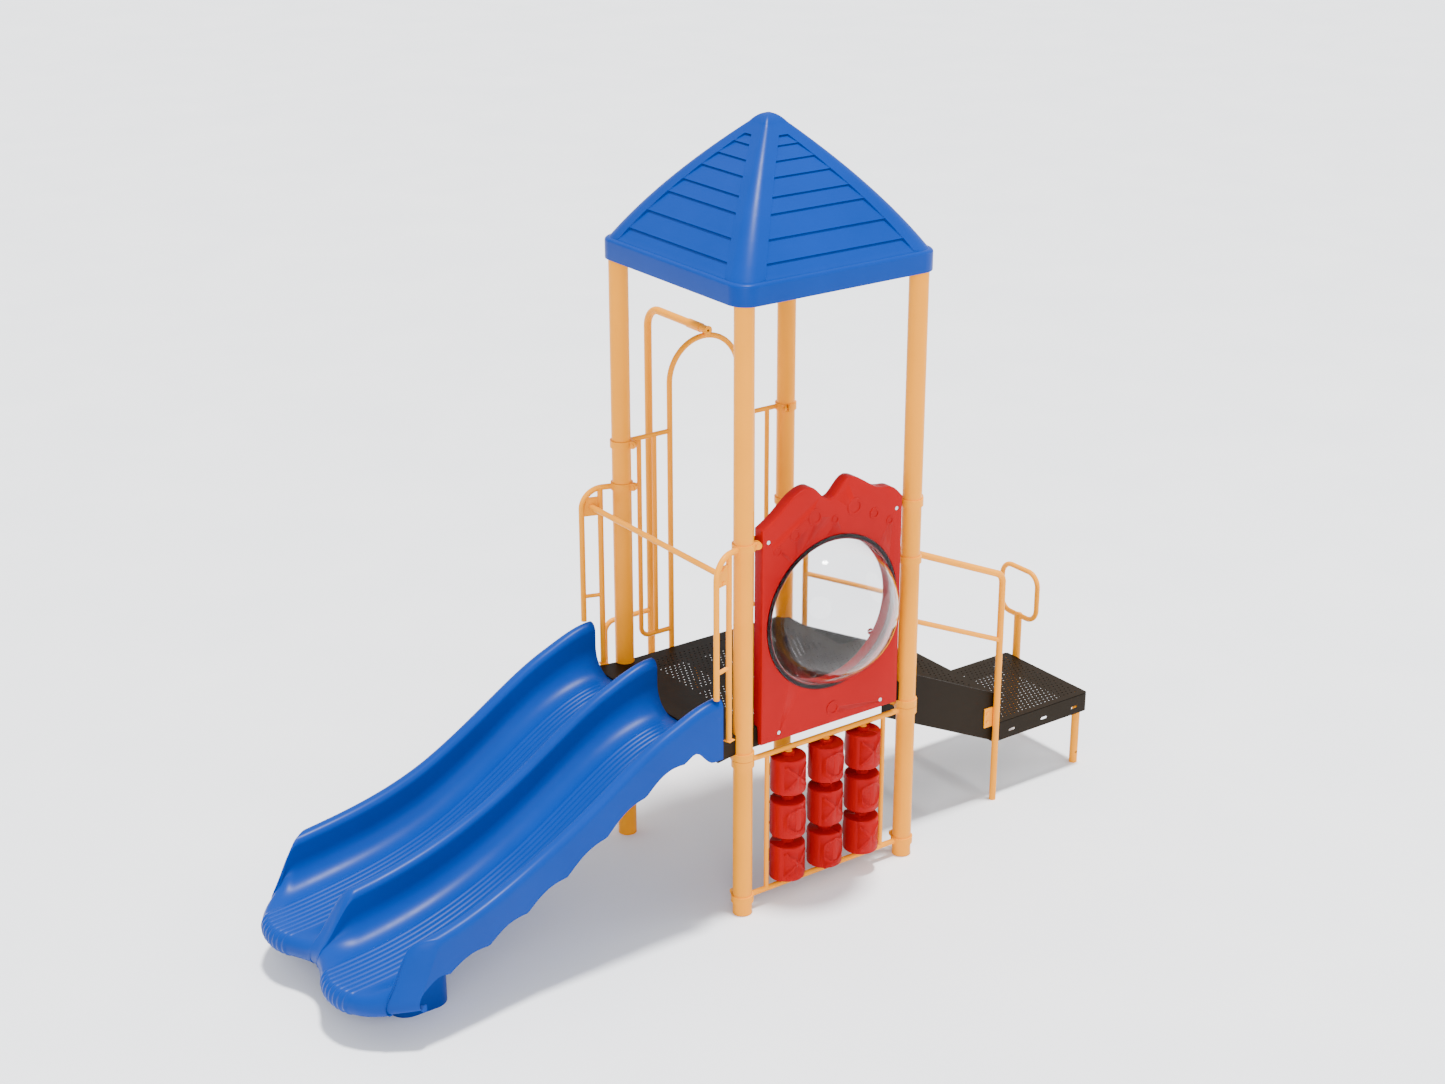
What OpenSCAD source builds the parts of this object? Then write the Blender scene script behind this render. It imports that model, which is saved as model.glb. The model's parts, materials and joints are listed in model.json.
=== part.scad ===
// Playground play structure: roofed square tower with a double slide, bubble panel,
// tic-tac-toe panel, transfer stair and arch climber. Millimetres, +Z up.
// The origin is the foot of the front left post. +X runs to the stair, -X to the slide,
// -Y faces the bubble panel and +Y the climber.

/* [Tower] */

// Distance between the centres of two neighbouring posts
post_cc = 945; // [780:5:1140]

// Outside diameter of a corner post
post_od = 89; // [74:1:107]

// Wall of a corner post
post_wall = 3.2; // [2:0.1:6]

// Height of the deck surface above the ground
deck_h = 914; // [760:2:1100]

// Depth of the folded edge round the deck
deck_edge = 94; // [70:1:110]

// Thickness of the deck, tread and platform sheet
sheet = 3; // [2:0.5:5]

// Height of a post clamp
clamp_h = 34; // [24:1:40]

// Radial thickness of a post clamp
clamp_t = 7.5; // [5:0.5:10]

/* [Roof] */

// Height of the roof's lower edge above the deck
roof_rise = 1966; // [1900:2:2300]

// How far the roof reaches past the post centres
roof_over = 67.5; // [64:0.5:80]

// Height of the upright edge band of the roof
fascia_h = 95; // [80:1:120]

// Height of the pitched part of the roof
roof_pitch_h = 568; // [420:2:680]

// Thickness of the roof moulding
roof_t = 6; // [4:0.5:8]

/* [Bubble panel] */

// Gap between the panel's side and the post
panel_gap = 37; // [25:1:50]

// Thickness of the bubble panel
panel_t = 64; // [50:1:70]

// Height of the panel's corners above the deck
panel_rise = 960; // [920:2:1100]

// Dome radius as a share of the panel's half width
dome_share = 0.87; // [0.7:0.01:0.9]

// Dome depth as a share of its base radius
dome_depth = 0.78; // [0.5:0.01:0.95]

// Thickness of the clear dome
dome_t = 5; // [4:0.5:8]

/* [Tic-tac-toe panel] */

// Diameter of a turning cylinder
cyl_d = 165; // [130:1:172]

// Diameter of the rods the cylinders turn on
rod_d = 21.3; // [16:0.1:27]

// Radial running clearance of a cylinder on its rod
cyl_play = 0.08; // [0.05:0.01:0.1]

// Height of the lower rail's centre
low_rail_z = 78; // [60:1:110]

/* [Slide] */

// Length of the slide from the entry plate to its nose
slide_l = 1835; // [1600:5:2100]

// Height of the sliding surface at the exit
exit_h = 245; // [180:1:300]

// Height of the slide walls above the bed
wall_h = 212; // [170:1:240]

// Thickness of the slide moulding
slide_t = 10; // [8:0.5:12]

// Depth of the entry plate between the deck and the slide
entry_l = 162; // [140:1:200]

/* [Stair] */

// Width of the stair and the low platform
stair_w = 610; // [500:5:640]

// Depth of each tread
tread_run = 365; // [300:1:440]

// Height of the low platform
platform_h = 406; // [340:1:440]

// Length of the low platform
platform_l = 638; // [540:1:760]

// Outside diameter of the handrails
handrail_d = 33.4; // [28:0.1:38]

/* [Climber] */

// Radius of the arch's centreline
arch_r = 195; // [170:1:210]

// Height of the arch's springing above the deck
arch_rise = 1321; // [1150:1:1500]

// Distance of the pole from the post line
pole_out = 473; // [400:1:560]

// Diameter of the pole
pole_d = 38; // [32:0.1:46]

// Outside diameter of the light tubes
tube_d = 26.7; // [22:0.1:30]

/* [Hidden] */

$fn = 48;

tube_wall = 2.4;
half = post_cc / 2;
post_r = post_od / 2;
ring_r = post_r + clamp_t;
tube_r = tube_d / 2;
rail_r = handrail_d / 2;
foot_t = 6;
post_top = deck_h + roof_rise + 70;
cap_t = 4;

deck_half = half - 2.5;
notch_r = post_r + 1.5;
collar_z = deck_h - deck_edge - clamp_h / 2;
under_z = collar_z - clamp_h - 2;
panel_clamp_z = deck_h + 887;
rail_clamp_z = deck_h + 610;
bar_clamp_z = deck_h + 1091;
ear_t = 9;
ear_gap = 8;
ear_l = 22;
bolt_r = 5;
head_r = 9;
head_h = 6;

roof_z = deck_h + roof_rise;
roof_half = half + roof_over;
apex_z = roof_z + fascia_h + roof_pitch_h;

panel_half = half - post_r - panel_gap;
panel_y = -half - 30.5;
panel_back = panel_y + panel_t;
panel_low = deck_h - 80;
dome_r = dome_share * panel_half;
dome_z = deck_h + 0.493 * panel_rise;
dome_bulge = dome_depth * dome_r;
dome_ball = (dome_r * dome_r + dome_bulge * dome_bulge) / (2 * dome_bulge);
flange_r = dome_r + 26;
panel_bolt_x = panel_half - 32;
low_bolt_x = 0.75 * panel_half;
low_bolt_z = deck_h - 43;

top_rail_z = under_z;
rail_gap = top_rail_z - low_rail_z - tube_d;
cyl_pitch = rail_gap / 3;
cyl_h = cyl_pitch - 44;
cyl_r = cyl_d / 2;
hub_r = 30;
hub_h = 16;
rod_r = rod_d / 2;
rod_x = 0.46 * half;
side_bar_x = 0.713 * half;
mark_t = 3;
mark_w = 13;

entry_x = -deck_half - entry_l;
slide_half = half + 72.5;
lane_y = (slide_half - 35) / 2;
nose_z = exit_h - 55;
guard_a = 17.5;
guard_in = 105;
guard_out = 195;
guard_top_z = panel_clamp_z;

stair_half = stair_w / 2;
side_t = 5;
rise = (deck_h - platform_h) / 3;
stair_end = deck_half + 2 * tread_run;
platform_end = stair_end + platform_l;
platform_edge = 100;
leg_r = 21;
hand_y = stair_half + rail_r;
hand_x = deck_half + rail_r;
hand_end = stair_end - 6;
hand_drop = 0.437;
hand_bend = 60;
loop_y = stair_half - 50;
loop_w = 133;

arch_y = deck_half + tube_r;
bar_z = deck_h + 1091;
arch_top = deck_h + arch_rise + arch_r;
pole_y = half + pole_out;
pole_r = pole_d / 2;
arm_z = arch_top + tube_r + pole_r;
rung_y = 277;
rung_gap = 0.327 * deck_h;
snake_top = deck_h - 21;

corners = [[-1, -1], [1, -1], [-1, 1], [1, 1]];

function unit(v) = v / norm(v);
function smooth(t) = t <= 0 ? 0 : t >= 1 ? 1 : t * t * (3 - 2 * t);
function mix(a, b, t) = a + (b - a) * t;

// Points of a soft curve through a short list of control points
function curve(p, n) = [
  for (i = [0:len(p) - 2])
    for (k = [0:n - 1])
      let (a = p[max(i - 1, 0)], b = p[i], c = p[i + 1], d = p[min(i + 2, len(p) - 1)])
        let (t = k / n)
          0.5 * ((2 * b) + (c - a) * t + (2 * a - 5 * b + 4 * c - d) * t * t
            + (3 * b - a - 3 * c + d) * t * t * t)
];

module at_tower() {
  translate([half, half, 0])
    children();
}

module at_post(c) {
  translate([c[0] * half, c[1] * half, 0])
    children();
}

// Straight round bar from a to b
module rod(a, b, r) {
  v = b - a;
  translate(a)
    rotate([0, acos(v[2] / norm(v)), atan2(v[1], v[0])])
      cylinder(r = r, h = norm(v));
}

// Straight tube from a to b
module pipe(a, b, r, wall = tube_wall) {
  v = b - a;
  translate(a)
    rotate([0, acos(v[2] / norm(v)), atan2(v[1], v[0])])
      linear_extrude(norm(v))
        difference() {
          circle(r);
          circle(r - wall);
        }
}

// Quarter-like bend at q between the directions p to q and q to s
module bend(p, q, s, r, big, wall = tube_wall) {
  d1 = unit(q - p);
  d2 = unit(s - q);
  ang = acos(d1 * d2);
  trim = big * tan(ang / 2);
  start = q - d1 * trim;
  n = unit(cross(d1, d2));
  u = -cross(n, d1);
  c = start - u * big;
  multmatrix([
    [u[0], d1[0], n[0], c[0]],
    [u[1], d1[1], n[1], c[1]],
    [u[2], d1[2], n[2], c[2]],
    [0, 0, 0, 1]
  ])
    rotate_extrude(angle = ang)
      translate([big, 0])
        difference() {
          circle(r);
          circle(r - wall);
        }
}

function big_at(big, i) = is_list(big) ? big[i] : big;
function trim_at(p, i, big) = i == 0 || i == len(p) - 1 ? 0
  : big_at(big, i) * tan(acos(unit(p[i] - p[i - 1]) * unit(p[i + 1] - p[i])) / 2);

// Tube bent along a list of corner points. With a lap, the straights reach into the bends,
// which are made thicker than them by the same small step inside and out
module bent_tube(p, r, big, lap = 0, step = 0) {
  n = len(p) - 1;
  for (i = [0:n - 1])
    let (
      d = unit(p[i + 1] - p[i]),
      l0 = i == 0 ? 0 : lap,
      l1 = i == n - 1 ? 0 : lap
    )
      pipe(p[i] + d * (trim_at(p, i, big) - l0), p[i + 1] - d * (trim_at(p, i + 1, big) - l1), r);
  for (i = [1:n - 1])
    bend(p[i - 1], p[i], p[i + 1], r + step, big_at(big, i), tube_wall + 2 * step);
}

// Side tube from a to b whose far end is cut to sit on a bar through c and d
module joined(a, b, r, c, d, r2) {
  difference() {
    pipe(a, b, r);
    rod(c, d, r2);
  }
}

// Bolt head and shank along +Z, the head above z = 0
module bolt(shank) {
  cylinder(r = head_r, h = head_h);
  translate([0, 0, -shank])
    cylinder(r = bolt_r, h = shank);
}

// Clamp ring round a post with a split pair of ears towards +X
module clamp_ring() {
  difference() {
    union() {
      cylinder(r = ring_r, h = clamp_h, center = true);
      for (s = [-1, 1])
        translate([0, s * (ear_gap + ear_t) / 2, 0])
          ear();
    }
    cylinder(r = post_r, h = clamp_h + 2, center = true);
    translate([ring_r, 0, 0])
      cube([2 * ear_l + 2 * clamp_t, ear_gap, clamp_h + 2], center = true);
    translate([ring_r + ear_l / 2, 0, 0])
      rotate([90, 0, 0])
        cylinder(r = bolt_r, h = ring_r, center = true);
  }
}

module ear() {
  translate([post_r + 1, -ear_t / 2, -clamp_h / 2])
    cube([ring_r + ear_l / 2 - post_r - 1, ear_t, clamp_h]);
  translate([ring_r + ear_l / 2, 0, 0])
    rotate([90, 0, 0])
      cylinder(r = clamp_h / 2, h = ear_t, center = true);
}

// Bolt through the ears of a clamp turned to angle a
module ear_bolt(a) {
  rotate([0, 0, a])
    translate([ring_r + ear_l / 2, -ear_gap / 2 - ear_t, 0])
      rotate([90, 0, 0])
        bolt(ear_gap + 2 * ear_t);
}

module clamp(c, z, a) {
  at_post(c)
    translate([0, 0, z])
      rotate([0, 0, a])
        clamp_ring();
}

// Posts

module post(c) {
  color("gold")
    at_tower()
      at_post(c)
        difference() {
          cylinder(r = post_r, h = post_top);
          translate([0, 0, foot_t])
            cylinder(r = post_r - post_wall, h = post_top);
        }
}

module post_front_left() {
  post([-1, -1]);
}

module post_front_right() {
  post([1, -1]);
}

module post_back_left() {
  post([-1, 1]);
}

module post_back_right() {
  post([1, 1]);
}

module post_caps() {
  color("gold")
    at_tower()
      for (c = corners)
        at_post(c)
          translate([0, 0, post_top])
            cylinder(r = post_r, h = cap_t);
}

// Inward diagonal, the direction that a collar's ears take
function inward(c) = atan2(-c[1], -c[0]);

module deck_collars() {
  color("gold")
    at_tower()
      for (c = corners)
        clamp(c, collar_z, inward(c));
}

// Post, height and ear direction of the upper clamps
upper = [
  [[-1, -1], panel_clamp_z, -20],
  [[1, -1], panel_clamp_z, 20],
  [[-1, 1], panel_clamp_z, -60],
  [[1, -1], rail_clamp_z, 20],
  [[1, 1], rail_clamp_z, -20],
  [[-1, 1], bar_clamp_z, -60],
  [[1, 1], bar_clamp_z, -120]
];

low_frame = [
  [[-1, -1], under_z, 90],
  [[1, -1], under_z, 90],
  [[-1, -1], low_rail_z, 90],
  [[1, -1], low_rail_z, 90]
];

module guard_clamps() {
  color("gold")
    at_tower()
      for (i = [0, 2])
        clamp(upper[i][0], upper[i][1], upper[i][2]);
}

module panel_clamp() {
  color("gold")
    at_tower()
      clamp(upper[1][0], upper[1][1], upper[1][2]);
}

module handrail_clamps() {
  color("gold")
    at_tower()
      for (i = [3, 4])
        clamp(upper[i][0], upper[i][1], upper[i][2]);
}

module climber_clamps() {
  color("gold")
    at_tower()
      for (i = [5, 6])
        clamp(upper[i][0], upper[i][1], upper[i][2]);
}

module tictactoe_clamps() {
  color("gold")
    at_tower()
      for (k = low_frame)
        clamp(k[0], k[1], k[2]);
}

module clamp_bolts() {
  color("silver")
    at_tower() {
      for (k = concat(upper, low_frame))
        at_post(k[0])
          translate([0, 0, k[1]])
            ear_bolt(k[2]);
      for (c = corners)
        at_post(c)
          translate([0, 0, collar_z])
            ear_bolt(inward(c));
    }
}

// Deck

module deck_plan(inset) {
  difference() {
    square(2 * (deck_half - inset), center = true);
    for (c = corners)
      at_post(c)
        circle(notch_r + inset);
  }
}

module deck() {
  color("saddlebrown")
    at_tower()
      translate([0, 0, deck_h - deck_edge])
        difference() {
          linear_extrude(deck_edge)
            deck_plan(0);
          translate([0, 0, -1])
            linear_extrude(deck_edge - sheet + 1)
              deck_plan(sheet);
          at_deck_bolts()
            cylinder(r = bolt_r, h = 4 * sheet, center = true);
        }
}

module deck_stiffeners() {
  color("saddlebrown")
    at_tower()
      for (s = [-1, 1])
        translate([s * 0.34 * half - 20, sheet - deck_half, deck_h - sheet - 50])
          difference() {
            cube([40, 2 * (deck_half - sheet), 50]);
            translate([sheet, -1, -1])
              cube([40 - 2 * sheet, 2 * deck_half, 50 - sheet + 1]);
          }
}

// Slide entry plate: the deck's flared extension

module entry_plan(inset) {
  flare = deck_half + 35;
  x0 = entry_x + inset;
  difference() {
    polygon([
      [-deck_half, -deck_half + inset],
      [x0, -flare + inset],
      [x0, flare - inset],
      [-deck_half, deck_half - inset]
    ]);
    for (s = [-1, 1])
      at_post([-1, s])
        circle(notch_r + inset);
  }
}

module slide_entry_plate() {
  color("saddlebrown")
    at_tower()
      translate([0, 0, deck_h - deck_edge])
        difference() {
          linear_extrude(deck_edge)
            entry_plan(0);
          translate([0, 0, -1])
            linear_extrude(deck_edge - sheet + 1)
              entry_plan(sheet);
        }
}

// Places in the deck's back and stair side flanges, heights from the flange's lower edge
module at_deck_bolts() {
  for (s = [-1, 1])
    for (z = [0.3, 0.7]) {
      translate([s * 0.8 * half, deck_half, deck_edge * z])
        rotate([-90, 0, 0])
          children();
      translate([deck_half, s * 0.8 * half, deck_edge * z])
        rotate([0, 90, 0])
          children();
    }
}

module deck_bolts() {
  color("silver")
    at_tower()
      translate([0, 0, deck_h - deck_edge])
        at_deck_bolts()
          bolt(sheet);
}

// Stair and low platform

module stair_side(s) {
  color("saddlebrown")
    at_tower()
      translate([0, s > 0 ? stair_half : side_t - stair_half, 0])
        rotate([90, 0, 0])
          linear_extrude(side_t)
            polygon([
              [deck_half, deck_h],
              [stair_end, deck_h - 2 * rise],
              [stair_end, platform_h - 90],
              [deck_half, deck_h - 258]
            ]);
}

module stair_side_near() {
  stair_side(-1);
}

module stair_side_far() {
  stair_side(1);
}

// Tread i counted down from the deck, with its front riser
module tread(i) {
  x = deck_half + (i - 1) * tread_run;
  z = deck_h - i * rise;
  w = stair_w - 2 * side_t;
  color("saddlebrown")
    at_tower() {
      translate([x, -w / 2, z - sheet])
        cube([tread_run, w, sheet]);
      translate([x + tread_run - sheet, -w / 2, z - rise])
        cube([sheet, w, rise]);
      if (i == 1)
        translate([x, -w / 2, z - sheet])
          cube([sheet, w, rise - 4]);
    }
}

module tread_upper() {
  tread(1);
}

module tread_lower() {
  tread(2);
}

module rounded_box(l, w, h, r) {
  translate([r, 0, 0])
    cube([l - 2 * r, w, h]);
  translate([0, r, 0])
    cube([l, w - 2 * r, h]);
  for (x = [r, l - r])
    for (y = [r, w - r])
      translate([x, y, 0])
        cylinder(r = r, h = h);
}

// Upright slot through the platform edge
module edge_slot() {
  for (s = [-1, 1])
    translate([s * 14, 0, 0])
      rotate([90, 0, 0])
        cylinder(r = 7, h = 3 * stair_w, center = true);
  cube([28, 3 * stair_w, 14], center = true);
}

module low_platform() {
  color("saddlebrown")
    at_tower()
      translate([stair_end, -stair_half, platform_h - platform_edge])
        difference() {
          rounded_box(platform_l, stair_w, platform_edge, 18);
          translate([sheet, sheet, -1])
            rounded_box(platform_l - 2 * sheet, stair_w - 2 * sheet,
              platform_edge - sheet + 1, 18 - sheet);
          for (k = [0.19, 0.53, 0.86])
            translate([k * platform_l, 0, 0.39 * platform_edge])
              edge_slot();
        }
}

module platform_leg(s) {
  color("gold")
    at_tower()
      translate([platform_end - 26, s * loop_y, 0])
        difference() {
          cylinder(r = leg_r, h = platform_h - sheet);
          translate([0, 0, foot_t])
            cylinder(r = leg_r - 3, h = platform_h);
          translate([0, 0, 60])
            rotate([90, 0, 0])
              cylinder(r = 6, h = 60, center = true);
        }
}

module platform_leg_near() {
  platform_leg(-1);
}

module platform_leg_far() {
  platform_leg(1);
}

// Handhold: a rounded loop on its own post outside the platform's end
module handhold() {
  x = platform_end + leg_r;
  z0 = platform_h + 228;
  z1 = platform_h + 492;
  y0 = loop_y - loop_w;
  y1 = loop_y + loop_w;
  color("gold")
    at_tower()
      union() {
        bent_tube([
          [x, loop_y, z0], [x, y0, z0], [x, y0, z1],
          [x, y1, z1], [x, y1, z0], [x, loop_y, z0]
        ], tube_r, 70);
        difference() {
          translate([x, loop_y, 0])
            cylinder(r = leg_r, h = z0 + 9);
          translate([x, loop_y, foot_t])
            cylinder(r = leg_r - 3, h = z0 - foot_t - 3);
          rod([x, y0, z0], [x, y1, z0], tube_r);
        }
      }
}

// Handrails, each from the post's clamp over the stair to the ground

bar_r = 0.85 * rail_r;
bar_low = deck_h - deck_edge + 10;
mid_z = deck_h + 267;
function hand_at(x, y, z) = [x, y, z - hand_drop * (x - hand_x)];

module handrail(s) {
  y = s * hand_y;
  knee = hand_at(hand_end, y, rail_clamp_z);
  color("gold")
    at_tower()
      union() {
        difference() {
          bent_tube([[hand_x, s * half, rail_clamp_z], hand_at(hand_x, y, rail_clamp_z), knee,
            [hand_end, y, 0]], rail_r, [0, 28, hand_bend, 0], 2, 0.4);
          at_post([1, s])
            cylinder(r = ring_r, h = 3 * deck_h);
        }
        difference() {
          pipe(hand_at(hand_x, y, mid_z), hand_at(hand_end, y, mid_z), 0.75 * rail_r);
          rod([hand_x, y, bar_low], [hand_x, y, rail_clamp_z], bar_r);
          rod([hand_end, y, 0], knee, rail_r - 1);
        }
      }
}

module handrail_near() {
  handrail(-1);
}

module handrail_far() {
  handrail(1);
}

// Uprights at the deck that carry the handrails' upper ends
module handrail_uprights() {
  color("gold")
    at_tower()
      for (s = [-1, 1])
        difference() {
          pipe([hand_x, s * hand_y, bar_low], [hand_x, s * hand_y, rail_clamp_z - 2 * rail_r], bar_r);
          rod(hand_at(hand_x - 60, s * hand_y, rail_clamp_z),
            hand_at(hand_end, s * hand_y, rail_clamp_z), rail_r);
        }
}

// Plates that tie the stair sides to the handrails' end posts
module handrail_plates() {
  color("gold")
    at_tower()
      for (s = [-1, 1])
        translate([hand_end - rail_r - 50, s > 0 ? stair_half : -stair_half - 6, platform_h])
          difference() {
            cube([52, 6, 104]);
            for (z = [28, 76])
              translate([20, 3, z])
                rotate([90, 0, 0])
                  cylinder(r = 7, h = 8, center = true);
          }
}

module stair_bolts() {
  color("silver")
    at_tower()
      for (s = [-1, 1])
        for (z = [28, 76])
          translate([hand_end - rail_r - 30, s * (stair_half + 6), platform_h + z])
            rotate([-90 * s, 0, 0]) {
              cylinder(r = head_r, h = 5);
              translate([0, 0, -6])
                cylinder(r = 7, h = 6);
            }
}

// Roof

// Half width of the pitched part at height share t
function roof_w(t, w) = w * (1 - 0.70 * t - 0.26 * t * t);

module roof_slab(w, z, h, r) {
  translate([0, 0, z])
    for (x = [-1, 1])
      for (y = [-1, 1])
        translate([x * (w - r), y * (w - r), 0])
          cylinder(r = r, h = h, $fn = 32);
}

module roof_shape(inset) {
  w = roof_half - inset;
  hull() {
    roof_slab(w, roof_z - (inset > 0 ? 1 : 0), fascia_h - 16, 90 - inset);
    for (t = [0:0.125:1])
      roof_slab(roof_w(t, w - 16), roof_z + fascia_h - inset + roof_pitch_h * t - 0.5, 0.5,
        mix(88, 16, t) * w / roof_half);
  }
}

module roof() {
  color("royalblue")
    at_tower()
      difference() {
        roof_shape(0);
        roof_shape(roof_t);
      }
}

module roof_brackets() {
  color("gold")
    at_tower()
      for (c = corners)
        difference() {
          translate([c[0] * (half - 40) - 15, c[1] > 0 ? half : roof_t - roof_half, roof_z + 12])
            cube([30, roof_over - roof_t, 50]);
          at_post(c)
            cylinder(r = post_r, h = 2 * roof_z);
        }
}

// Bubble panel

// The panel's wavy top, left to right, as shares of its half width and the rise
panel_top = [
  [-1, 0.99], [-0.82, 1.035], [-0.55, 1.12], [-0.32, 1.14], [-0.06, 1.06],
  [0.23, 1.145], [0.62, 1.06], [0.85, 1.04], [1, 0.985]
];

module panel_outline() {
  top = [for (p = curve(panel_top, 6)) [p[0] * panel_half, deck_h + p[1] * panel_rise - 4]];
  polygon(concat(
    [[-panel_half, panel_low]],
    top,
    [[panel_half, deck_h + 0.98 * panel_rise], [panel_half, panel_low]]
  ));
}

// Centre, height and radius of the raised rings, as shares of the panel
panel_rings = [
  [-0.79, 0.868, 23], [-0.55, 0.927, 28], [-0.27, 0.989, 37], [0.015, 0.952, 19],
  [0.295, 0.989, 40], [0.585, 0.93, 26], [0.815, 0.875, 19], [0.03, -0.005, 35]
];

module bubble_panel() {
  color("crimson")
    at_tower()
      difference() {
        union() {
          translate([0, panel_back, 0])
            rotate([90, 0, 0])
              linear_extrude(panel_t)
                panel_outline();
          for (k = panel_rings)
            translate([k[0] * panel_half, panel_y, deck_h + k[1] * panel_rise])
              rotate([90, 0, 0])
                linear_extrude(2.5)
                  difference() {
                    circle(k[2]);
                    circle(0.72 * k[2]);
                  }
        }
        translate([0, panel_y, dome_z])
          rotate([90, 0, 0])
            cylinder(r = dome_r, h = 3 * panel_t, center = true);
        translate([-half, -deck_half, panel_low - 1])
          cube([post_cc, panel_t, deck_h - panel_low + 4]);
        for (s = [-1, 1]) {
          translate([s * panel_bolt_x, 0, panel_clamp_z])
            panel_bore(panel_t);
          translate([s * low_bolt_x, 0, low_bolt_z])
            panel_bore(panel_t);
        }
      }
}

// Counterbored bolt hole from the panel's face
module panel_bore(depth) {
  translate([0, panel_y - 5, 0])
    rotate([-90, 0, 0])
      cylinder(r = 11, h = 13);
  translate([0, panel_y, 0])
    rotate([-90, 0, 0])
      cylinder(r = bolt_r, h = depth + 2);
}

module panel_bolts() {
  color("dimgray")
    at_tower()
      for (s = [-1, 1]) {
        translate([s * panel_bolt_x, panel_y + 8, panel_clamp_z])
          rotate([90, 0, 0])
            bolt(panel_t - 8);
        translate([s * low_bolt_x, panel_y + 8, low_bolt_z])
          rotate([90, 0, 0])
            bolt(-deck_half - panel_y - 8);
      }
}

// Flat arms that hold the panel's upper corners to the clamps
module panel_arms() {
  color("gold")
    at_tower()
      for (s = [-1, 1])
        difference() {
          translate([s > 0 ? panel_bolt_x - 24 : -half, panel_back, panel_clamp_z - 16])
            cube([half - panel_bolt_x + 24, 8, 32]);
          at_post([s, -1])
            cylinder(r = ring_r, h = 2 * panel_clamp_z);
        }
}

module bubble_dome() {
  color("lightcyan", 0.5)
    at_tower()
      translate([0, panel_y, dome_z])
        rotate([90, 0, 0]) {
          linear_extrude(dome_t)
            difference() {
              circle(flange_r);
              circle(dome_r - dome_t);
            }
          difference() {
            translate([0, 0, dome_bulge - dome_ball])
              sphere(r = dome_ball, $fn = 128);
            translate([0, 0, dome_bulge - dome_ball])
              sphere(r = dome_ball - dome_t, $fn = 128);
            translate([0, 0, -dome_ball * 2])
              cylinder(r = dome_ball * 2, h = dome_ball * 2);
          }
        }
}

// Tic-tac-toe panel

module tictactoe_frame() {
  color("gold")
    at_tower()
      union() {
        for (z = [low_rail_z, top_rail_z])
          difference() {
            pipe([-half, -half, z], [half, -half, z], tube_r);
            for (s = [-1, 1])
              at_post([s, -1])
                cylinder(r = ring_r, h = 2 * deck_h);
          }
        for (s = [-1, 1])
          difference() {
            pipe([s * side_bar_x, -half, low_rail_z], [s * side_bar_x, -half, top_rail_z],
              0.85 * tube_r);
            for (z = [low_rail_z, top_rail_z])
              rod([-half, -half, z], [half, -half, z], tube_r - 1);
          }
      }
}

// The three rods with the spacer rings that keep the cylinders apart
module tictactoe_rods() {
  base = low_rail_z + tube_r;
  ring_h = 44 - 2 * hub_h - 0.8;
  color("gold")
    at_tower()
      for (x = [-rod_x, 0, rod_x])
        difference() {
          union() {
            rod([x, -half, low_rail_z], [x, -half, top_rail_z], rod_r);
            for (k = [1, 2])
              translate([x, -half, base + k * cyl_pitch - ring_h / 2])
                cylinder(r = rod_r + 6, h = ring_h);
            for (z = [base, base + rail_gap - ring_h / 2])
              translate([x, -half, z - 0])
                cylinder(r = rod_r + 6, h = ring_h / 2);
          }
          for (z = [low_rail_z, top_rail_z])
            rod([-half, -half, z], [half, -half, z], tube_r);
        }
}

// Raised cross and ring on opposite faces of a cylinder
module cross_mark() {
  intersection() {
    rotate([90, 0, 0])
      linear_extrude(cyl_r + mark_t)
        for (a = [-45, 45])
          rotate(a)
            square([mark_w, 0.92 * cyl_h], center = true);
    cylinder(r = cyl_r + mark_t, h = cyl_h - 6, center = true);
  }
}

module ring_mark() {
  intersection() {
    rotate([90, 0, 0])
      linear_extrude(cyl_r + mark_t)
        difference() {
          circle(0.36 * cyl_h);
          circle(0.36 * cyl_h - mark_w);
        }
    cylinder(r = cyl_r + mark_t, h = cyl_h - 6, center = true);
  }
}

// Cylinder in column i (left to right) and row j (top to bottom)
module ttt_cylinder(i, j) {
  z = low_rail_z + tube_r + (2.5 - j) * cyl_pitch;
  color("crimson")
    at_tower()
      translate([(i - 1) * rod_x, -half, z])
        rotate([0, 0, (i + j) % 2 == 0 ? 0 : 180])
          difference() {
            union() {
              cylinder(r = cyl_r, h = cyl_h, center = true);
              cylinder(r = hub_r, h = cyl_h + 2 * hub_h, center = true);
              cross_mark();
              rotate([0, 0, 180])
                ring_mark();
            }
            cylinder(r = rod_r + cyl_play, h = 2 * cyl_pitch, center = true);
          }
}

module cylinder_a1() {
  ttt_cylinder(0, 0);
}

module cylinder_a2() {
  ttt_cylinder(0, 1);
}

module cylinder_a3() {
  ttt_cylinder(0, 2);
}

module cylinder_b1() {
  ttt_cylinder(1, 0);
}

module cylinder_b2() {
  ttt_cylinder(1, 1);
}

module cylinder_b3() {
  ttt_cylinder(1, 2);
}

module cylinder_c1() {
  ttt_cylinder(2, 0);
}

module cylinder_c2() {
  ttt_cylinder(2, 1);
}

module cylinder_c3() {
  ttt_cylinder(2, 2);
}

// Slide

slide_top_z = deck_h - 9;
bed_x = [0, 0.282, 0.395, 1];
bed_z = [0, 0.008, 0.932, 1];
ridge_r = 35;
fillet_r = 110;
nose_r = 40;
nose_h = 100;

function bez(p, t) = p[0] * pow(1 - t, 3) + 3 * p[1] * t * pow(1 - t, 2)
  + 3 * p[2] * t * t * (1 - t) + p[3] * pow(t, 3);
function bez_t(x, lo = 0, hi = 1, n = 0) = let (m = (lo + hi) / 2)
  n == 20 ? m : bez(bed_x, m) < x ? bez_t(x, m, hi, n + 1) : bez_t(x, lo, m, n + 1);

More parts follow.
